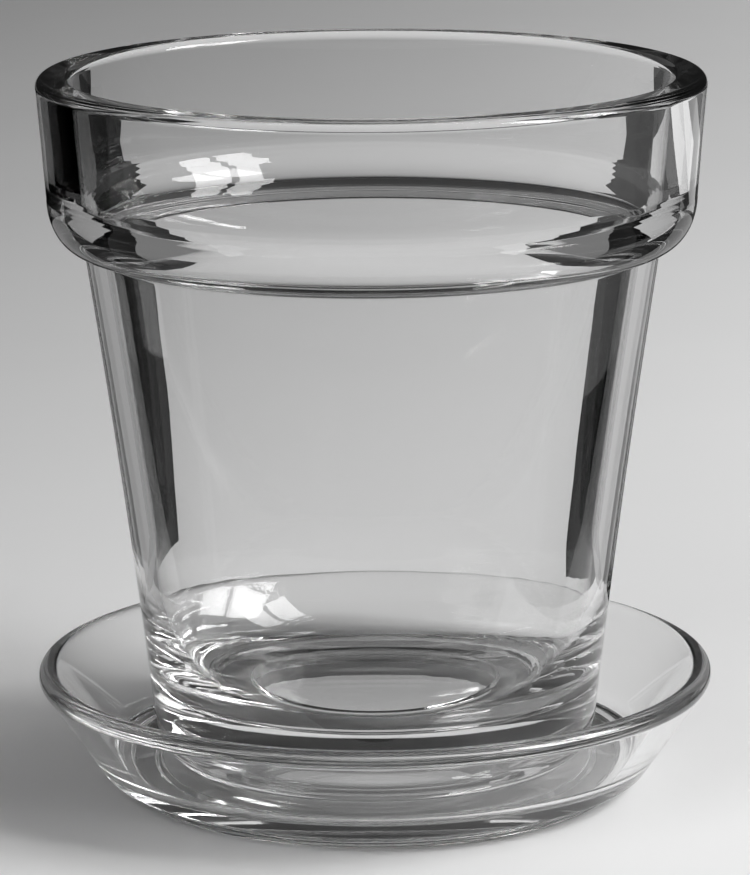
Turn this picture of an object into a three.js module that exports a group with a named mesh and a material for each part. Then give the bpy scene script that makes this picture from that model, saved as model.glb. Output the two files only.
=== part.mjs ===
// Flower pot of clear crystal glass, standing loose in its own glass saucer.
// Millimetres, +Z up. The origin is the centre of the saucer's foot ring, on the table.

import * as THREE from 'three';

// Pot: overall sizes
const rimDiameter = 150;
const potHeight = 154.4;
const rimThickness = 7.8;
const rimOuterRounding = 2.2;
const rimInnerRounding = 2.0;

// Pot: the deep collar under the rim, and the ledge that it leaves inside
const collarHeight = 38.3;
const collarLean = 4.4; // degrees, both faces narrow downwards
const collarOverhang = 7.3; // step from the body out to the line of the collar's face
const collarCornerHeight = 11.5; // rise of the round lower corner
const creaseRounding = 1.0;
const ledgeThickness = 7.4; // glass between the middle of the inner ledge and the collar's underside
const ledgeDrop = 8.0; // height over which the sloping ledge steps in
const ledgeRounding = 12.0; // both of its bends

// Pot: body wall
const baseDiameter = 99.8; // the wall's line carried down to the base
const wallThickness = 4.8;
const wallHollow = 0.6; // how far the side bows in, halfway down

// Pot: heavy base
const baseThickness = 13.2;
const baseRounding = 7.2;
const floorDiameter = 69.6; // flat middle of the inner floor
const bowlHeight = 29; // rise of the curve from that floor to the straight wall
const bowlWallPull = 0.54; // share of its rise for which the curve keeps to the wall
const bowlFloorPull = 0.66; // share of its width for which it keeps to the floor
const standingDiameter = 86; // line that the base stands on
const standingRise = 0.7; // how far its underside rises from there to the recess
const baseRecessDiameter = 60;
const baseRecessDepth = 5.8;
const baseRecessDraft = 0.4; // how far its side leans in

// Saucer
const saucerDiameter = 154.2;
const saucerHeight = 27.8;
const saucerThickness = 4.84; // wall, with a lip that is half round
const saucerFlare = 34.6; // degrees from upright
const saucerFloorThickness = 4.5;
const saucerFloorRounding = 6.0;
const saucerHeelRounding = 1.2;

// Saucer: foot ring
const footDiameter = 113.8;
const footHeight = 4.0;
const footWidth = 7.0;
const footRounding = 0.8;

// Clearance of the loose pot over the saucer's floor
const seatGap = 0.3;

// Facets
const turnSegments = 60;
const arcStep = 20; // degrees of each facet on a rounding
const wallSteps = 6;
const bowlSteps = 9;
const collarCornerSteps = 7;

const glassColour = 0xe9eeee;
const glassRoughness = 0.03;

const radians = THREE.MathUtils.degToRad;
const point = (radius, height) => new THREE.Vector2(radius, height);

/** Rounds the corner between two straight runs with a tangent arc. */
function roundedCorner(before, corner, after, rounding) {
  const toBefore = before.clone().sub(corner).normalize();
  const toAfter = after.clone().sub(corner).normalize();
  const halfAngle = Math.acos(THREE.MathUtils.clamp(toBefore.dot(toAfter), -1, 1)) / 2;
  const setback = rounding / Math.tan(halfAngle);
  const towardsCentre = toBefore.clone().add(toAfter).normalize();
  const centre = corner.clone().addScaledVector(towardsCentre, rounding / Math.sin(halfAngle));
  const start = corner.clone().addScaledVector(toBefore, setback).sub(centre);
  const end = corner.clone().addScaledVector(toAfter, setback).sub(centre);
  const sweep = Math.atan2(start.cross(end), start.dot(end));
  const steps = Math.max(2, Math.round(Math.abs(sweep) / radians(arcStep)));
  const origin = new THREE.Vector2();
  return Array.from({ length: steps + 1 }, (_, step) =>
    start.clone().rotateAround(origin, (sweep * step) / steps).add(centre));
}

/** Turns a list of corners, [radius, height, rounding], into the outline of a section. */
function outline(corners) {
  const places = corners.map(([radius, height]) => point(radius, height));
  return corners.flatMap(([, , rounding], index) => (rounding
    ? roundedCorner(places[index - 1], places[index], places[index + 1], rounding)
    : [places[index]]));
}

/** Corners without rounding along a curve, both ends included. */
function alongCurve(curve, steps) {
  return curve.getPoints(steps).map(({ x, y }) => [x, y]);
}

/** A solid of revolution about Z from a section that starts and ends on the axis. */
function turned(name, corners) {
  const geometry = new THREE.LatheGeometry(outline(corners), turnSegments);
  geometry.rotateX(Math.PI / 2);
  const material = new THREE.MeshStandardMaterial({
    color: glassColour,
    roughness: glassRoughness,
    metalness: 0,
    transparent: true,
    opacity: 0.35,
  });
  const mesh = new THREE.Mesh(geometry, material);
  mesh.name = name;
  return mesh;
}

/** The saucer: foot ring, thin floor and a flared wall with a half-round lip. */
function makeSaucer() {
  const footRadius = footDiameter / 2;
  const footInnerRadius = footRadius - footWidth;
  const floorTop = footHeight + saucerFloorThickness;
  const flare = radians(saucerFlare);
  const lipRounding = saucerThickness / 2;
  const lipRadius = saucerDiameter / 2 - lipRounding;
  const lipHeight = saucerHeight - lipRounding;

  // Radius of the wall's outer (+1) or inner (-1) face at a height.
  const wallRadius = (side, height) =>
    lipRadius + (side * lipRounding) / Math.cos(flare) + (height - lipHeight) * Math.tan(flare);

  const lip = new THREE.EllipseCurve(
    lipRadius, lipHeight, lipRounding, lipRounding, -flare, Math.PI - flare);

  return turned('saucer', [
    [0, footHeight],
    [footInnerRadius, footHeight, footRounding],
    [footInnerRadius + footHeight / 4, 0, footRounding],
    [footRadius, 0, footRounding],
    [footRadius, footHeight, footRounding],
    [wallRadius(1, footHeight), footHeight, saucerHeelRounding],
    ...alongCurve(lip, Math.round(180 / arcStep)),
    [wallRadius(-1, floorTop), floorTop, saucerFloorRounding],
    [0, floorTop],
  ]);
}

/** The pot: heavy base, hollow-sided body and a deep collar with a ledge inside. */
function makePot() {
  const baseLevel = footHeight + saucerFloorThickness + seatGap;
  const rimLevel = baseLevel + potHeight;
  const creaseLevel = rimLevel - collarHeight;
  const ledgeTop = creaseLevel + ledgeThickness + ledgeDrop / 2;
  const ledgeFoot = ledgeTop - ledgeDrop;
  const floorLevel = baseLevel + baseThickness;
  const bowlLevel = floorLevel + bowlHeight;
  const cornerLevel = creaseLevel + collarCornerHeight;

  // Collar: outer face, and an inner face that runs parallel to it.
  const collarRadius = (height) =>
    rimDiameter / 2 - (rimLevel - rimOuterRounding - height) * Math.tan(radians(collarLean));
  const collarInnerRadius = (height) => collarRadius(height) - rimThickness;

  // Body: a straight taper from crease to base that bows in by a parabola.
  const bodyTopRadius = collarRadius(creaseLevel) - collarOverhang;
  const bodyTaper = bodyTopRadius - baseDiameter / 2;
  const bodyRadius = (height) => {
    const down = (creaseLevel - height) / (creaseLevel - baseLevel);
    return bodyTopRadius - bodyTaper * down - 4 * wallHollow * down * (1 - down);
  };
  const boreRadius = (height) => bodyRadius(height) - wallThickness;

  const side = Array.from({ length: wallSteps }, (_, step) => {
    const height = THREE.MathUtils.lerp(baseLevel + 2 * baseRounding, creaseLevel, step / wallSteps);
    return [bodyRadius(height), height];
  });
  const bore = Array.from({ length: wallSteps }, (_, step) => {
    const height = THREE.MathUtils.lerp(ledgeFoot - ledgeRounding, bowlLevel, step / wallSteps);
    return [boreRadius(height), height];
  });

  const cornerRadius = collarRadius(cornerLevel);
  const cornerWidth = cornerRadius - bodyTopRadius - creaseRounding;
  const collarCorner = new THREE.EllipseCurve(
    cornerRadius - cornerWidth, cornerLevel, cornerWidth, collarCornerHeight, -Math.PI / 2, 0);

  // Bowl: a round corner that leaves the bore along its own slope and meets the floor flat.
  const floorRadius = floorDiameter / 2;
  const bowlRadius = boreRadius(bowlLevel);
  const handleLevel = bowlLevel - bowlWallPull * bowlHeight;
  const bowl = new THREE.CubicBezierCurve(
    point(bowlRadius, bowlLevel),
    point(boreRadius(handleLevel), handleLevel),
    point(floorRadius + bowlFloorPull * (bowlRadius - floorRadius), floorLevel),
    point(floorRadius, floorLevel));

  const recessRadius = baseRecessDiameter / 2;
  const rimInnerRadius = collarInnerRadius(rimLevel);

  return turned('pot', [
    [0, baseLevel + baseRecessDepth],
    [recessRadius - baseRecessDraft, baseLevel + baseRecessDepth],
    [recessRadius, baseLevel + standingRise],
    [standingDiameter / 2, baseLevel],
    [bodyRadius(baseLevel), baseLevel, baseRounding],
    ...side,
    [bodyTopRadius, creaseLevel, creaseRounding],
    ...alongCurve(collarCorner, collarCornerSteps),
    [collarRadius(rimLevel), rimLevel, rimOuterRounding],
    [rimInnerRadius, rimLevel, rimInnerRounding],
    [collarInnerRadius(ledgeTop), ledgeTop, ledgeRounding],
    [boreRadius(ledgeFoot), ledgeFoot, ledgeRounding],
    ...bore,
    ...alongCurve(bowl, bowlSteps),
    [0, floorLevel],
  ]);
}

const flowerPot = new THREE.Group();
flowerPot.add(makeSaucer(), makePot());

export default flowerPot;
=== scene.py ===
"""Crystal flower pot standing in its glass saucer, on a pale sheet by a window.

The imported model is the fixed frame. Pot and saucer are turned here from fine sections, so that light bends
through them as it does through real glass, and each stands for the solid of the same name.
"""

import logging
import math
from abc import ABC, abstractmethod
from collections.abc import Callable, Sequence
from dataclasses import dataclass
from enum import Enum
from typing import ClassVar

import bmesh
import bpy
from mathutils import Matrix, Vector


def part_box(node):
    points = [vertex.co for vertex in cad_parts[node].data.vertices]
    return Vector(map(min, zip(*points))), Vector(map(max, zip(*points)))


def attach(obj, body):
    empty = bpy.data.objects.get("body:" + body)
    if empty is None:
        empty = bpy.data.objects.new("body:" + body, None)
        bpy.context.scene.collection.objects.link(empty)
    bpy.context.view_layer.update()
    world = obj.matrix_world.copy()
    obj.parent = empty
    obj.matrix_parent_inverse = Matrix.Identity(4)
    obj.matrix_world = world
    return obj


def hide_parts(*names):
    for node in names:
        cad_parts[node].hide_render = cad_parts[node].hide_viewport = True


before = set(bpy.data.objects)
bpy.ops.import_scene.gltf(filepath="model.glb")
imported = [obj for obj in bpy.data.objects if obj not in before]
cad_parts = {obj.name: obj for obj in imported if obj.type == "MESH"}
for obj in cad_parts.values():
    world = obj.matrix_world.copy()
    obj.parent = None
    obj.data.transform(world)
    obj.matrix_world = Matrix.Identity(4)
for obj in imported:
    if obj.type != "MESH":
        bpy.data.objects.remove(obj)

log = logging.getLogger("flower_pot")

MM = 0.001
IMAGE_WIDTH = 750
IMAGE_HEIGHT = 875

# A ray of light crosses many faces of the two pieces before it leaves the glass.
MOST_BOUNCES = 32
MOST_MIRRORED_BOUNCES = 24


class CardGlow(Enum):
    """How brightly a studio card glows in the glass, though it is no lamp: the strength of a painted reflection."""

    BLACK = 0.0
    GREY = 0.07
    SILVER = 0.18
    BRIGHT = 0.32
    PALE = 0.5
    WHITE = 0.85


# Sections of turned pieces


@dataclass(frozen=True)
class Corner:
    """A corner of a section, in millimetres; a rounding of 0 leaves it as it is."""

    radius: float
    height: float
    rounding: float = 0.0

    @property
    def place(self) -> Vector:
        """The corner as a point in the section's plane."""
        return Vector((self.radius, self.height))


class Section:
    """The outline of a turned piece, from the axis underneath to the axis on top. Millimetres."""

    ARC_STEP: ClassVar[float] = math.radians(6.0)  # turn of each facet on a rounding
    FEWEST_ARC_STEPS: ClassVar[int] = 3
    RUN_STEP: ClassVar[float] = 2.6  # length of each facet on a straight run
    GUARD: ClassVar[float] = 0.25  # the short piece at both ends of a run
    SHORTEST_SPLIT_RUN: ClassVar[float] = 1.0

    def __init__(self, corners: Sequence[Corner]) -> None:
        """Rounds the corners and splits the long straight runs.

        Args:
            corners: The outline's corners in order, in millimetres.
        """
        rounded: list[Vector] = []
        for index, corner in enumerate(corners):
            if corner.rounding:
                rounded += self._arc(corners[index - 1].place, corner, corners[index + 1].place)
            else:
                rounded.append(corner.place)
        self.points: list[Vector] = [rounded[0]]
        for start, end in zip(rounded, rounded[1:]):
            self.points += self._run(start, end)

    def _arc(self, before: Vector, corner: Corner, after: Vector) -> list[Vector]:
        """Rounds one corner with an arc that is tangent to both runs.

        Args:
            before: The corner before it.
            corner: The corner to round.
            after: The corner after it.

        Returns:
            The points of the arc.
        """
        to_before = (before - corner.place).normalized()
        to_after = (after - corner.place).normalized()
        half = to_before.angle(to_after) / 2
        setback = corner.rounding / math.tan(half)
        inward = (to_before + to_after).normalized()
        centre = corner.place + inward * corner.rounding / math.sin(half)
        start = corner.place + to_before * setback - centre
        end = corner.place + to_after * setback - centre
        sweep = math.atan2(start.x * end.y - start.y * end.x, start.dot(end))
        steps = max(self.FEWEST_ARC_STEPS, round(abs(sweep) / self.ARC_STEP))
        return [centre + Matrix.Rotation(sweep * step / steps, 2) @ start for step in range(steps + 1)]

    def _run(self, start: Vector, end: Vector) -> list[Vector]:
        """Splits a straight run, with a short piece at both ends that keeps the roundings' shading off it.

        Args:
            start: The run's first point, which isn't returned.
            end: The run's last point.

        Returns:
            The points after the first one.
        """
        length = (end - start).length
        if length < self.SHORTEST_SPLIT_RUN:
            return [end]
        inner = max(1, round((length - 2 * self.GUARD) / self.RUN_STEP))
        stops = [self.GUARD + (length - 2 * self.GUARD) * step / inner for step in range(inner + 1)]
        return [start.lerp(end, stop / length) for stop in stops] + [end]


def oval_corners(centre: Corner, width: float, rise: float, start: float, end: float, steps: int) -> list[Corner]:
    """Points along part of an upright oval.

    Args:
        centre: The oval's centre.
        width: Half its width.
        rise: Half its height.
        start: Where it starts, in degrees from the outward radius.
        end: Where it ends.
        steps: How many pieces it has.

    Returns:
        Its points as corners without rounding.
    """
    turns = [math.radians(start + (end - start) * step / steps) for step in range(steps + 1)]
    return [
        Corner(centre.radius + width * math.cos(turn), centre.height + rise * math.sin(turn)) for turn in turns
    ]


def bent_corners(knots: tuple[Corner, Corner, Corner, Corner], steps: int) -> list[Corner]:
    """Points along a cubic curve.

    Args:
        knots: Its start, its two handles and its end.
        steps: How many pieces it has.

    Returns:
        Its points as corners without rounding.
    """
    places = [knot.place for knot in knots]
    result = []
    for step in range(steps + 1):
        t = step / steps
        shares = ((1 - t) ** 3, 3 * t * (1 - t) ** 2, 3 * t * t * (1 - t), t**3)
        at = sum((place * share for place, share in zip(places, shares)), Vector((0.0, 0.0)))
        result.append(Corner(at.x, at.y))
    return result


# Geometry Nodes


class NodeBench:
    """Adds and wires nodes in one tree."""

    def __init__(self, tree: bpy.types.NodeTree) -> None:
        """Works on a tree."""
        self.tree = tree

    def add(self, kind: str, inputs: dict[str | int, object] | None = None, **settings: object) -> bpy.types.Node:
        """Adds a node.

        Args:
            kind: The node's type name.
            inputs: A value or another node's output for each input, by name or place.
            settings: Attributes of the node itself, such as its operation.

        Returns:
            The node.
        """
        node = self.tree.nodes.new(kind)
        for name, value in settings.items():
            setattr(node, name, value)
        for key, value in (inputs or {}).items():
            if isinstance(value, bpy.types.NodeSocket):
                self.tree.links.new(value, node.inputs[key])
            else:
                node.inputs[key].default_value = value
        return node

    def math(self, operation: str, *values: object) -> bpy.types.NodeSocket:
        """The result of a Math node on up to three values."""
        return self.add("ShaderNodeMath", dict(enumerate(values)), operation=operation).outputs[0]

    def vector(self, x: object, y: object, z: object) -> bpy.types.NodeSocket:
        """A vector from its three parts."""
        return self.add("ShaderNodeCombineXYZ", {0: x, 1: y, 2: z}).outputs[0]

    def spread(
        self, value: bpy.types.NodeSocket, given: tuple[float, float], wanted: tuple[float, float]
    ) -> bpy.types.NodeSocket:
        """Carries a value from one range over to another, and holds it there.

        Args:
            value: What to carry over.
            given: Where it starts and ends.
            wanted: What the start and the end become.

        Returns:
            The new value.
        """
        ends = {"From Min": given[0], "From Max": given[1], "To Min": wanted[0], "To Max": wanted[1]}
        return self.add("ShaderNodeMapRange", {"Value": value, **ends}).outputs[0]


class Lathe:
    """A Geometry Nodes tree that turns a section about Z, with the slight wobble of hand-worked glass."""

    SIZES: ClassVar[dict[str, str]] = {
        "Segments": "NodeSocketInt",
        "Wobble": "NodeSocketFloat",
        "Wobble Size": "NodeSocketFloat",
        "Seed": "NodeSocketFloat",
        "Glass": "NodeSocketMaterial",
    }
    DRIFT: ClassVar[float] = 9.0  # how far the wobble changes along the section, so that inside and outside differ
    STEADY_RADIUS: ClassVar[float] = 30 * MM  # the wobble fades out from here to the axis
    SEAM: ClassVar[float] = 0.002 * MM  # points closer than this are joined
    SLIVER: ClassVar[float] = 0.001 * MM  # edges shorter than this are dropped

    def __init__(self) -> None:
        """Builds the tree once; every piece turned on it shares it."""
        self.tree = bpy.data.node_groups.new("lathe", "GeometryNodeTree")
        self.tree.interface.new_socket("Section", in_out="INPUT", socket_type="NodeSocketGeometry")
        self.sockets = {
            name: self.tree.interface.new_socket(name, in_out="INPUT", socket_type=kind).identifier
            for name, kind in self.SIZES.items()
        }
        self.tree.interface.new_socket("Piece", in_out="OUTPUT", socket_type="NodeSocketGeometry")
        self._wire(NodeBench(self.tree))

    def _wire(self, bench: NodeBench) -> None:
        """Lays a grid of section points by turns, and bends it round the axis.

        Args:
            bench: Where the nodes go.
        """
        given = bench.add("NodeGroupInput").outputs
        count = bench.add("GeometryNodeAttributeDomainSize", {0: given["Section"]}, component="MESH").outputs[0]
        columns = bench.math("ADD", given["Segments"], 1.0)
        grid = bench.add("GeometryNodeMeshGrid", {"Vertices X": count, "Vertices Y": columns}).outputs["Mesh"]

        index = bench.add("GeometryNodeInputIndex").outputs[0]
        row = bench.math("FLOOR", bench.math("DIVIDE", bench.math("ADD", index, 0.5), columns))
        column = bench.math("SUBTRACT", index, bench.math("MULTIPLY", row, columns))
        turn = bench.math("MULTIPLY", bench.math("DIVIDE", column, given["Segments"]), math.tau)
        place = bench.add("GeometryNodeInputPosition").outputs[0]
        drawn = bench.add("GeometryNodeSampleIndex", data_type="FLOAT_VECTOR", domain="POINT")
        bench.tree.links.new(given["Section"], drawn.inputs["Geometry"])
        bench.tree.links.new(place, drawn.inputs["Value"])
        bench.tree.links.new(row, drawn.inputs["Index"])
        parts = bench.add("ShaderNodeSeparateXYZ", {0: drawn.outputs[0]}).outputs
        radius, height = parts["X"], parts["Z"]

        east, north = bench.math("COSINE", turn), bench.math("SINE", turn)
        fineness = bench.math("DIVIDE", 1.0, given["Wobble Size"])
        seen = bench.vector(
            bench.math("MULTIPLY", bench.math("MULTIPLY", east, radius), fineness),
            bench.math("MULTIPLY", bench.math("MULTIPLY", north, radius), fineness),
            bench.math("MULTIPLY", height, fineness),
        )
        along = bench.math("MULTIPLY", bench.math("DIVIDE", row, count), self.DRIFT)
        noise = bench.add(
            "ShaderNodeTexNoise",
            {"Vector": seen, "W": bench.math("ADD", given["Seed"], along), "Scale": 1.0, "Detail": 1.0},
            noise_dimensions="4D",
        ).outputs[0]
        swing = bench.math("MULTIPLY", bench.math("SUBTRACT", noise, 0.5), given["Wobble"])
        near_axis = bench.math("MINIMUM", bench.math("MULTIPLY", radius, 1 / self.STEADY_RADIUS), 1.0)
        bent = bench.math("ADD", radius, bench.math("MULTIPLY", swing, near_axis))
        turned = bench.vector(bench.math("MULTIPLY", bent, east), bench.math("MULTIPLY", bent, north), height)

        shape = bench.add("GeometryNodeSetPosition", {"Geometry": grid, "Position": turned}).outputs[0]
        shape = bench.add("GeometryNodeMergeByDistance", {"Geometry": shape, "Distance": self.SEAM}).outputs[0]
        shape = bench.add("GeometryNodeSetShadeSmooth", {"Geometry": shape, "Shade Smooth": True}).outputs[0]
        shape = bench.add("GeometryNodeRealizeInstances", {0: shape}).outputs[0]
        dressed = bench.add("GeometryNodeSetMaterial", {"Geometry": shape, "Material": given["Glass"]}).outputs[0]
        bench.add("NodeGroupOutput", {0: dressed})

    def turn(self, name: str, section: Section, sizes: dict[str, object]) -> bpy.types.Object:
        """Turns a section into a closed mesh.

        Args:
            name: The piece's name.
            section: Its outline in millimetres.
            sizes: A value for each of the tree's inputs, by name.

        Returns:
            The piece, linked to the scene, as a plain mesh.
        """
        line = bpy.data.meshes.new(f"{name}_section")
        places = [(max(point.x, 0.0) * MM, 0.0, point.y * MM) for point in section.points]
        line.from_pydata(places, [(at, at + 1) for at in range(len(places) - 1)], [])
        piece = bpy.data.objects.new(name, line)
        bpy.context.scene.collection.objects.link(piece)
        modifier = piece.modifiers.new("lathe", "NODES")
        modifier.node_group = self.tree
        for size, value in sizes.items():
            modifier[self.sockets[size]] = value

        turned = bpy.data.meshes.new_from_object(piece.evaluated_get(bpy.context.evaluated_depsgraph_get()))
        piece.modifiers.clear()
        piece.data = turned
        turned.name = name
        bpy.data.meshes.remove(line)
        self._close(turned)
        return piece

    def _close(self, mesh: bpy.types.Mesh) -> None:
        """Drops the slivers left at the poles and points every face outwards.

        Args:
            mesh: The turned mesh, which is changed in place.
        """
        shell = bmesh.new()
        shell.from_mesh(mesh)
        bmesh.ops.dissolve_degenerate(shell, dist=self.SLIVER, edges=shell.edges)
        bmesh.ops.recalc_face_normals(shell, faces=shell.faces)
        shell.to_mesh(mesh)
        shell.free()


# Finishes


@dataclass(frozen=True)
class Crystal:
    """Clear pressed glass: chilled ripples, drawn streaks, handling haze and wear where it stands. Metres."""

    name: str
    ior: float = 1.52
    ripple: float = 0.004 * MM
    ripple_width: float = 22 * MM
    ripple_height: float = 3.6 * MM
    ripple_full: float = 45 * MM  # up to this height the ripples are at their strongest
    ripple_faint: float = 95 * MM  # from this height on they are faint
    ripple_least: float = 0.25
    streak: float = 0.0012 * MM
    streak_width: float = 2.6 * MM
    streak_height: float = 90 * MM
    haze: float = 0.02
    haze_size: float = 30 * MM
    haze_band: tuple[float, float] = (0.55, 0.8)  # the noise's share where haze starts and where it is full
    wear: float = 0.22
    wear_size: float = 1.5 * MM
    wear_band: tuple[float, float] = (0.6, 0.75)
    wear_level: float = 9.0 * MM
    wear_inner: float = 31 * MM
    seed: float = 1.0

    def material(self) -> bpy.types.Material:
        """Makes the glass.

        Returns:
            The material.
        """
        glass = bpy.data.materials.new(self.name)
        glass.use_nodes = True
        bench = NodeBench(glass.node_tree)
        shader = glass.node_tree.nodes["Principled BSDF"]
        shader.inputs["Base Color"].default_value = (1.0, 1.0, 1.0, 1.0)
        shader.inputs["Transmission Weight"].default_value = 1.0
        shader.inputs["IOR"].default_value = self.ior

        place = bench.add("ShaderNodeTexCoord").outputs["Object"]
        worn = self._worn(bench, place)
        bench.tree.links.new(self._roughness(bench, place, worn), shader.inputs["Roughness"])
        bump = bench.add("ShaderNodeBump", {"Height": self._relief(bench, place), "Strength": 1.0, "Distance": 1.0})
        bench.tree.links.new(bump.outputs[0], shader.inputs["Normal"])
        return glass

    def _noise(
        self, bench: NodeBench, place: bpy.types.NodeSocket, width: float, height: float, detail: float
    ) -> bpy.types.NodeSocket:
        """A noise whose cells have a width across the piece and a height up it.

        Args:
            bench: Where the nodes go.
            place: The Object coordinates.
            width: The cells' width.
            height: The cells' height.
            detail: How many finer noises are added.

        Returns:
            The noise, between 0 and 1.
        """
        scale = (1 / width, 1 / width, 1 / height)
        mapped = bench.add("ShaderNodeMapping", {"Vector": place, "Scale": scale}).outputs[0]
        inputs = {"Vector": mapped, "W": self.seed, "Scale": 1.0, "Detail": detail}
        return bench.add("ShaderNodeTexNoise", inputs, noise_dimensions="4D").outputs[0]

    def _relief(self, bench: NodeBench, place: bpy.types.NodeSocket) -> bpy.types.NodeSocket:
        """The surface's relief in metres: ripples that fade upwards, and streaks.

        Args:
            bench: Where the nodes go.
            place: The Object coordinates.

        Returns:
            The height.
        """
        height = bench.add("ShaderNodeSeparateXYZ", {0: place}).outputs["Z"]
        low = bench.spread(height, (self.ripple_faint, self.ripple_full), (self.ripple_least, 1.0))
        ripples = self._noise(bench, place, self.ripple_width, self.ripple_height, detail=2.0)
        ripples = bench.math("MULTIPLY", ripples, low)
        streaks = self._noise(bench, place, self.streak_width, self.streak_height, detail=1.0)
        return bench.math("MULTIPLY_ADD", ripples, self.ripple, bench.math("MULTIPLY", streaks, self.streak))

    def _worn(self, bench: NodeBench, place: bpy.types.NodeSocket) -> bpy.types.NodeSocket:
        """Where the glass stands on something, as a share.

        Args:
            bench: Where the nodes go.
            place: The Object coordinates.

        Returns:
            1 on the standing ring and 0 off it.
        """
        parts = bench.add("ShaderNodeSeparateXYZ", {0: place}).outputs
        squares = [bench.math("POWER", parts[axis], 2.0) for axis in ("X", "Y")]
        radius = bench.math("SQRT", bench.math("ADD", *squares))
        low = bench.math("LESS_THAN", parts["Z"], self.wear_level)
        return bench.math("MULTIPLY", low, bench.math("GREATER_THAN", radius, self.wear_inner))

    def _roughness(
        self, bench: NodeBench, place: bpy.types.NodeSocket, worn: bpy.types.NodeSocket
    ) -> bpy.types.NodeSocket:
        """Polished glass with a little haze in patches, and scuffs where it stands.

        Args:
            bench: Where the nodes go.
            place: The Object coordinates.
            worn: Where the glass stands, from _worn.

        Returns:
            The roughness.
        """
        patches = self._noise(bench, place, self.haze_size, self.haze_size, detail=4.0)
        haze = bench.spread(patches, self.haze_band, (0.0, self.haze))
        scratches = self._noise(bench, place, self.wear_size, self.wear_size, detail=5.0)
        scuffs = bench.spread(scratches, self.wear_band, (0.0, self.wear))
        return bench.math("ADD", haze, bench.math("MULTIPLY", scuffs, worn))


@dataclass(frozen=True)
class Paper:
    """A matt sheet with a faint mottle."""

    name: str
    pale: tuple[float, float, float] = (0.78, 0.78, 0.78)
    shade: float = 0.96
    roughness: float = 0.8
    sheen: float = 0.2
    mottle_scale: float = 9.0
    mottle_detail: float = 3.0

    def material(self) -> bpy.types.Material:
        """Makes the sheet's material.

        Returns:
            The material.
        """
        sheet = bpy.data.materials.new(self.name)
        sheet.use_nodes = True
        bench = NodeBench(sheet.node_tree)
        shader = sheet.node_tree.nodes["Principled BSDF"]
        shader.inputs["Roughness"].default_value = self.roughness
        shader.inputs["Specular IOR Level"].default_value = self.sheen
        place = bench.add("ShaderNodeTexCoord").outputs["Object"]
        grain = {"Vector": place, "Scale": self.mottle_scale, "Detail": self.mottle_detail}
        mottle = bench.add("ShaderNodeTexNoise", grain).outputs[0]
        tones = bench.add("ShaderNodeMix", {0: mottle}, data_type="RGBA")
        tones.inputs["A"].default_value = (*(tone * self.shade for tone in self.pale), 1.0)
        tones.inputs["B"].default_value = (*self.pale, 1.0)
        bench.tree.links.new(tones.outputs["Result"], shader.inputs["Base Color"])
        return sheet


# Pieces


@dataclass
class TurnedGlass(ABC):
    """A glass piece that is turned on the lathe and stands for one solid of the frame."""

    lathe: Lathe

    node: ClassVar[str]
    seed: ClassVar[float]
    segments: ClassVar[int] = 256
    wobble: ClassVar[float] = 0.05 * MM
    wobble_size: ClassVar[float] = 45 * MM

    @abstractmethod
    def corners(self) -> list[Corner]:
        """The piece's section, from the axis underneath to the axis on top."""

    def build(self, glass: bpy.types.Material) -> bpy.types.Object:
        """Turns the piece, dresses it and puts it in its solid's place.

        Args:
            glass: Its material.

        Returns:
            The piece.
        """
        sizes = {
            "Segments": self.segments,
            "Wobble": self.wobble,
            "Wobble Size": self.wobble_size,
            "Seed": self.seed,
            "Glass": glass,
        }
        piece = self.lathe.turn(f"{self.node}_glass", Section(self.corners()), sizes)
        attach(piece, self.node)
        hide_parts(self.node)
        log.info("%s: %d faces", piece.name, len(piece.data.polygons))
        return piece


@dataclass
class Saucer(TurnedGlass):
    """The saucer: foot ring, floor and a flared wall with a half-round lip. Millimetres."""

    flare: float = 34.6
    thickness: float = 4.84
    floor_thickness: float = 4.5
    floor_rounding: float = 6.0
    heel_rounding: float = 1.2
    foot_diameter: float = 113.8
    foot_height: float = 4.0
    foot_width: float = 7.0
    foot_rounding: float = 0.8

    node: ClassVar[str] = "saucer"
    seed: ClassVar[float] = 7.0
    lip_steps: ClassVar[int] = 30

    def corners(self) -> list[Corner]:
        """The saucer's section, inside the box of its solid.

        Returns:
            Its corners.
        """
        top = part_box(self.node)[1]
        lip = self.thickness / 2
        lip_radius = top[0] / MM - lip
        lip_height = top[2] / MM - lip
        flare = math.radians(self.flare)
        floor_top = self.foot_height + self.floor_thickness
        foot = self.foot_diameter / 2
        foot_inner = foot - self.foot_width

        def wall(side: int, height: float) -> float:
            """Radius of the wall's outer (1) or inner (-1) face at a height."""
            return lip_radius + side * lip / math.cos(flare) + (height - lip_height) * math.tan(flare)

        return [
            Corner(0, self.foot_height),
            Corner(foot_inner, self.foot_height, self.foot_rounding),
            Corner(foot_inner + self.foot_height / 4, 0, self.foot_rounding),
            Corner(foot, 0, self.foot_rounding),
            Corner(foot, self.foot_height, self.foot_rounding),
            Corner(wall(1, self.foot_height), self.foot_height, self.heel_rounding),
            *oval_corners(
                Corner(lip_radius, lip_height), lip, lip, -self.flare, 180 - self.flare, self.lip_steps
            ),
            Corner(wall(-1, floor_top), floor_top, self.floor_rounding),
            Corner(0, floor_top),
        ]


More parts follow.
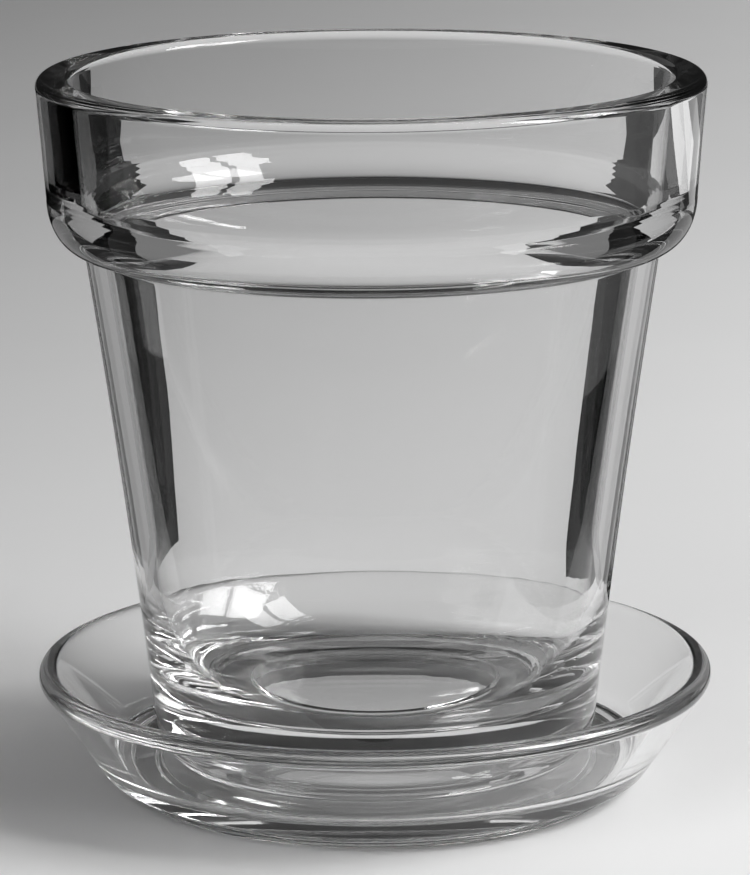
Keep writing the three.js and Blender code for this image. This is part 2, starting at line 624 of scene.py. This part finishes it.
@dataclass
class Pot(TurnedGlass):
    """The pot: heavy base, hollow-sided body and a deep collar with a ledge inside. Millimetres."""

    rim_thickness: float = 7.8
    rim_outer_rounding: float = 2.2
    rim_inner_rounding: float = 2.0
    collar_height: float = 38.3
    collar_lean: float = 4.4
    collar_overhang: float = 7.3
    collar_corner_height: float = 11.5
    crease_rounding: float = 1.0
    ledge_thickness: float = 7.4
    ledge_drop: float = 8.0
    ledge_rounding: float = 12.0
    base_diameter: float = 99.8
    wall_thickness: float = 4.8
    wall_hollow: float = 0.6
    base_thickness: float = 13.2
    base_rounding: float = 7.2
    floor_diameter: float = 69.6
    bowl_height: float = 29.0
    bowl_wall_pull: float = 0.54
    bowl_floor_pull: float = 0.66
    standing_diameter: float = 86.0
    standing_rise: float = 0.7
    recess_diameter: float = 60.0
    recess_depth: float = 5.8
    recess_draft: float = 0.4
    recess_top_rounding: float = 0.5
    recess_lip_rounding: float = 0.3

    node: ClassVar[str] = "pot"
    seed: ClassVar[float] = 3.0
    side_steps: ClassVar[int] = 40
    bore_steps: ClassVar[int] = 32
    collar_corner_steps: ClassVar[int] = 26
    bowl_steps: ClassVar[int] = 36

    def corners(self) -> list[Corner]:
        """The pot's section, inside the box of its solid.

        Returns:
            Its corners.
        """
        low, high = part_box(self.node)
        base, rim = low[2] / MM, high[2] / MM
        rim_radius = high[0] / MM
        crease = rim - self.collar_height
        ledge = crease + self.ledge_thickness
        ledge_top = ledge + self.ledge_drop / 2
        ledge_foot = ledge - self.ledge_drop / 2
        floor = base + self.base_thickness
        bowl_top = floor + self.bowl_height
        corner_level = crease + self.collar_corner_height
        lean = math.tan(math.radians(self.collar_lean))

        def collar(height: float) -> float:
            """Radius of the collar's outer face at a height."""
            return rim_radius - (rim - self.rim_outer_rounding - height) * lean

        body_top = collar(crease) - self.collar_overhang

        def body(height: float) -> float:
            """Radius of the hollow-sided body at a height."""
            down = (crease - height) / (crease - base)
            taper = (body_top - self.base_diameter / 2) * down
            return body_top - taper - 4 * self.wall_hollow * down * (1 - down)

        def bore(height: float) -> float:
            """Radius of the inner wall at a height."""
            return body(height) - self.wall_thickness

        side_foot = base + 2 * self.base_rounding
        corner_width = collar(corner_level) - body_top - self.crease_rounding
        corner_centre = Corner(collar(corner_level) - corner_width, corner_level)
        floor_radius = self.floor_diameter / 2
        wall_handle = bowl_top - self.bowl_wall_pull * self.bowl_height
        floor_handle = floor_radius + self.bowl_floor_pull * (bore(bowl_top) - floor_radius)
        bowl = (
            Corner(bore(bowl_top), bowl_top),
            Corner(bore(wall_handle), wall_handle),
            Corner(floor_handle, floor),
            Corner(floor_radius, floor),
        )
        recess = self.recess_diameter / 2
        recess_top = base + self.recess_depth
        return [
            Corner(0, recess_top),
            Corner(recess - self.recess_draft, recess_top, self.recess_top_rounding),
            Corner(recess, base + self.standing_rise, self.recess_lip_rounding),
            Corner(self.standing_diameter / 2, base),
            Corner(body(base), base, self.base_rounding),
            *self._face(body, side_foot, crease, self.side_steps),
            Corner(body_top, crease, self.crease_rounding),
            *oval_corners(
                corner_centre, corner_width, self.collar_corner_height, -90, 0, self.collar_corner_steps
            ),
            Corner(collar(rim), rim, self.rim_outer_rounding),
            Corner(collar(rim) - self.rim_thickness, rim, self.rim_inner_rounding),
            Corner(collar(ledge_top) - self.rim_thickness, ledge_top, self.ledge_rounding),
            Corner(bore(ledge_foot), ledge_foot, self.ledge_rounding),
            *self._face(bore, ledge_foot - self.ledge_rounding, bowl_top, self.bore_steps),
            *bent_corners(bowl, self.bowl_steps),
            Corner(0, floor),
        ]

    @staticmethod
    def _face(radius: Callable[[float], float], start: float, end: float, steps: int) -> list[Corner]:
        """Points up or down a face, without its end, where the next form starts.

        Args:
            radius: The face's radius at a height.
            start: The height of the first point.
            end: The height of the face's end.
            steps: How many pieces the face has.

        Returns:
            Its points as corners without rounding.
        """
        heights = [start + (end - start) * step / steps for step in range(steps)]
        return [Corner(radius(height), height) for height in heights]


# Studio


@dataclass(frozen=True)
class PhotoCamera:
    """The camera of the photograph: a long lens from a little above. Millimetres, degrees and pixels."""

    elevation: float = 12.767
    distance: float = 1019.06
    target_height: float = 79.68
    focal_pixels: float = 4483.8
    centre_x: float = 373.5
    centre_y: float = 436.7
    roll: float = 0.35
    sensor: float = 24.0
    reach: float = 100_000.0

    def build(self) -> bpy.types.Object:
        """Makes the camera and gives it to the scene.

        Returns:
            The camera.
        """
        lens = bpy.data.cameras.new("photo_camera")
        lens.sensor_fit = "VERTICAL"
        lens.sensor_height = self.sensor
        lens.lens = self.focal_pixels / IMAGE_HEIGHT * self.sensor
        lens.shift_x = (IMAGE_WIDTH / 2 - self.centre_x) / IMAGE_HEIGHT
        lens.shift_y = (self.centre_y - IMAGE_HEIGHT / 2) / IMAGE_HEIGHT
        lens.clip_end = self.reach * MM
        camera = bpy.data.objects.new("photo_camera", lens)
        bpy.context.scene.collection.objects.link(camera)
        bpy.context.scene.camera = camera

        rise = math.radians(self.elevation)
        target = Vector((0.0, 0.0, self.target_height * MM))
        place = target + Vector((0.0, -math.cos(rise), math.sin(rise))) * self.distance * MM
        look = (target - place).to_track_quat("-Z", "Y").to_matrix().to_4x4()
        tilt = Matrix.Rotation(math.radians(-self.roll), 4, "Z")
        camera.matrix_world = Matrix.Translation(place) @ look @ tilt
        return camera


@dataclass(frozen=True)
class SoftLight:
    """A large flat light. Metres and watts."""

    name: str
    place: tuple[float, float, float]
    aim: tuple[float, float, float]
    width: float
    height: float
    power: float
    mirrored: bool = True

    def build(self) -> bpy.types.Object:
        """Hangs the light; the glass shows it only when it is mirrored.

        Returns:
            The light.
        """
        panel = bpy.data.lights.new(self.name, "AREA")
        panel.shape = "RECTANGLE"
        panel.size = self.width
        panel.size_y = self.height
        panel.energy = self.power
        light = bpy.data.objects.new(self.name, panel)
        light.location = self.place
        light.rotation_euler = (Vector(self.aim) - Vector(self.place)).to_track_quat("-Z", "Y").to_euler()
        light.visible_camera = False
        light.visible_glossy = self.mirrored
        light.visible_transmission = self.mirrored
        bpy.context.scene.collection.objects.link(light)
        return light


@dataclass(frozen=True)
class Card:
    """A studio card that glows evenly, or is black, and that only the glass sees: a painted reflection that draws
    the light and dark bands at the edges of the glass. Metres.
    """

    LEVEL: ClassVar[float] = 1 * MM  # of a card that lies on the sheet

    name: str
    tone: CardGlow
    corners: tuple[tuple[float, float, float], ...]

    def build(self) -> bpy.types.Object:
        """Cuts the glowing card and hides it from the camera and from the light on the sheet.

        Returns:
            The card.
        """
        finish = bpy.data.materials.new(self.name)
        finish.use_nodes = True
        shader = finish.node_tree.nodes["Principled BSDF"]
        shader.inputs["Base Color"].default_value = (0.0, 0.0, 0.0, 1.0)
        shader.inputs["Specular IOR Level"].default_value = 0.0
        # painted reflection: the card glows as strongly as its tone says, though it is no lamp
        shader.inputs["Emission Color"].default_value = (1.0, 1.0, 1.0, 1.0)
        shader.inputs["Emission Strength"].default_value = self.tone.value
        card = flat_plate(self.name, self.corners)
        card.data.materials.append(finish)
        card.visible_camera = False
        card.visible_shadow = False
        card.visible_diffuse = False
        return card


def flat_plate(name: str, corners: Sequence[tuple[float, float, float]]) -> bpy.types.Object:
    """A flat plate that belongs to the studio.

    Args:
        name: Its name.
        corners: Its corners in order.

    Returns:
        The plate.
    """
    mesh = bpy.data.meshes.new(name)
    mesh.from_pydata(list(corners), [], [tuple(range(len(corners)))])
    plate = bpy.data.objects.new(name, mesh)
    bpy.context.scene.collection.objects.link(plate)
    return plate


Outline = Sequence[tuple[float, float]]


def floor_card(name: str, tone: CardGlow, corners: Outline) -> Card:
    """A card that lies on the sheet."""
    return Card(name, tone, tuple((x, y, Card.LEVEL) for x, y in corners))


def round_corners(radius: float, count: int) -> Outline:
    """Corners of a round card about the axis."""
    turns = [math.tau * step / count for step in range(count)]
    return [(radius * math.cos(turn), radius * math.sin(turn)) for turn in turns]


def upright_card(name: str, tone: CardGlow, depth: float, corners: Outline) -> Card:
    """A card that hangs upright at a depth behind the axis."""
    return Card(name, tone, tuple((x, depth, z) for x, z in corners))


def mirrored(corners: Outline) -> Outline:
    """The same outline on the other side of the axis."""
    return [(-x, other) for x, other in corners]


class Studio:
    """A pale sheet, window light from the right, and glowing or black cards that only the glass sees: painted
    reflections that draw the light and dark edges of the glass.
    """

    SHEET: ClassVar[float] = 8.0
    ROOM: ClassVar[float] = 0.02
    BACKDROP: ClassVar[float] = 0.75
    LIGHTS: ClassVar[tuple[SoftLight, ...]] = (
        SoftLight("window_near", (1.07, -0.52, 0.9), (-0.06, -0.22, 0.08), 0.38, 0.7, 10.0),
        SoftLight("window_far", (1.19, -0.08, 0.9), (0.06, 0.22, 0.08), 0.38, 0.7, 10.0),
        SoftLight("side", (0.55, 0.8, 0.4), (0.0, 0.8, 0.2), 3.2, 0.4, 7.5, mirrored=False),
        SoftLight("fill", (-0.5, -0.7, 0.5), (0.0, -0.1, 0.0), 0.6, 0.6, 3.4, mirrored=False),
    )

    # Outlines of the cards that lie on the sheet, as X and Y: black and glowing patches that only the glass sees,
    # painted dark and light reflections
    LEFT: ClassVar[Outline] = (
        (-0.088, 0.2), (-0.12, 0.42), (-0.25, 0.5), (-0.45, 0.3), (-0.42, 0.08), (-0.2, 0.05), (-0.14, 0.11),
    )
    LEFT_FAR: ClassVar[Outline] = (
        (-0.12, 0.42), (-0.14, 0.55), (-0.25, 0.86), (-0.3, 1.4), (-1.5, 1.4), (-1.5, 0.1),
        (-0.42, 0.08), (-0.45, 0.3), (-0.25, 0.5),
    )
    LEFT_NEAR: ClassVar[Outline] = (
        (-0.14, 0.11), (-0.2, 0.05), (-0.42, 0.08), (-1.5, 0.1), (-1.5, -0.09), (-0.14, -0.09),
    )
    RIGHT: ClassVar[Outline] = (
        (0.074, 0.14), (0.14, 0.11), (0.2, 0.05), (0.42, 0.08), (0.45, 0.37), (0.118, 0.37),
    )
    RIGHT_FAR: ClassVar[Outline] = (
        (0.118, 0.37), (0.45, 0.37), (0.42, 0.08), (1.2, 0.1), (1.2, 1.4), (0.3, 1.4),
        (0.26, 0.86), (0.155, 0.56),
    )
    RIGHT_NEAR: ClassVar[Outline] = (
        (0.14, 0.11), (0.2, 0.05), (0.42, 0.08), (1.2, 0.1), (1.2, -0.09), (0.14, -0.09),
    )
    FRONT: ClassVar[Outline] = ((-1.5, -0.09), (1.5, -0.09), (1.5, -1.5), (-1.5, -1.5))
    # a glowing disc under the pot: painted light on the shaded sheet beneath it, seen through the base
    UNDER: ClassVar[Outline] = round_corners(radius=0.03, count=24)

    # Outlines of the upright cards, as X and Z: glowing cards, painted highlights in the glass
    EDGE: ClassVar[Outline] = ((0.084, 0.02), (0.088, 0.115), (0.14, 0.115), (0.14, 0.02))
    COLLAR: ClassVar[Outline] = ((0.185, 0.06), (0.42, 0.06), (0.42, 0.09), (0.185, 0.09))

    # Corners of the card that hangs over the back of the rim; it glows, a painted reflection in the glass
    ABOVE: ClassVar[tuple[tuple[float, float, float], ...]] = (
        (-0.075, 0.052, 0.18), (0.075, 0.052, 0.18), (0.075, 0.085, 0.18), (-0.075, 0.085, 0.18),
    )

    # Painted reflections and painted light: each card shows only in the glass; the black ones stand for dark
    # surroundings, the others glow though they are no lamps
    CARDS: ClassVar[tuple[Card, ...]] = (
        floor_card("card_left", CardGlow.BLACK, LEFT),
        floor_card("card_left_far", CardGlow.BLACK, LEFT_FAR),
        floor_card("card_left_near", CardGlow.SILVER, LEFT_NEAR),
        floor_card("card_right", CardGlow.BLACK, RIGHT),
        floor_card("card_right_far", CardGlow.GREY, RIGHT_FAR),
        floor_card("card_right_near", CardGlow.SILVER, RIGHT_NEAR),
        upright_card("card_edge_left", CardGlow.BRIGHT, 0.055, mirrored(EDGE)),
        upright_card("card_edge_right", CardGlow.PALE, 0.055, EDGE),
        upright_card("card_collar", CardGlow.WHITE, 0.3, COLLAR),
        floor_card("card_front", CardGlow.SILVER, FRONT),
        floor_card("card_under", CardGlow.PALE, UNDER),
        Card("card_above", CardGlow.SILVER, ABOVE),
    )

    def build(self) -> None:
        """Lays the sheet, sets up the cards, hangs the lights and dims the room."""
        half = self.SHEET / 2
        square = ((-half, -half, 0.0), (half, -half, 0.0), (half, half, 0.0), (-half, half, 0.0))
        sheet = flat_plate("floor", square)
        sheet.data.materials.append(Paper("pale_sheet").material())
        for card in self.CARDS:
            card.build()
        for light in self.LIGHTS:
            light.build()
        self._room()

    def _room(self) -> None:
        """A dim room to the glass, and a pale backdrop to the eye."""
        world = bpy.data.worlds.new("room")
        bpy.context.scene.world = world
        world.use_nodes = True
        bench = NodeBench(world.node_tree)
        shown = world.node_tree.nodes["Background"]
        eye = bench.add("ShaderNodeLightPath").outputs["Is Camera Ray"]
        tone = bench.add("ShaderNodeMix", {0: eye}, data_type="RGBA")
        tone.inputs["A"].default_value = (self.ROOM, self.ROOM, self.ROOM, 1.0)
        tone.inputs["B"].default_value = (self.BACKDROP, self.BACKDROP, self.BACKDROP, 1.0)
        bench.tree.links.new(tone.outputs["Result"], shown.inputs["Color"])


SAUCER_CRYSTAL = Crystal("saucer_glass", wear_level=0.3 * MM, wear_inner=45 * MM, seed=5.0)
POT_CRYSTAL = Crystal("pot_glass", seed=2.0)


def main() -> None:
    """Builds the pieces and the studio, and keeps the object's size."""
    logging.basicConfig(level=logging.INFO)
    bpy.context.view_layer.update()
    lathe = Lathe()
    Saucer(lathe).build(SAUCER_CRYSTAL.material())
    Pot(lathe).build(POT_CRYSTAL.material())
    Studio().build()
    PhotoCamera().build()

    scene = bpy.context.scene
    scene.view_settings.view_transform = "Standard"
    scene.cycles.max_bounces = MOST_BOUNCES
    scene.cycles.transmission_bounces = MOST_BOUNCES
    scene.cycles.glossy_bounces = MOST_MIRRORED_BOUNCES


if __name__ == "__main__":
    main()
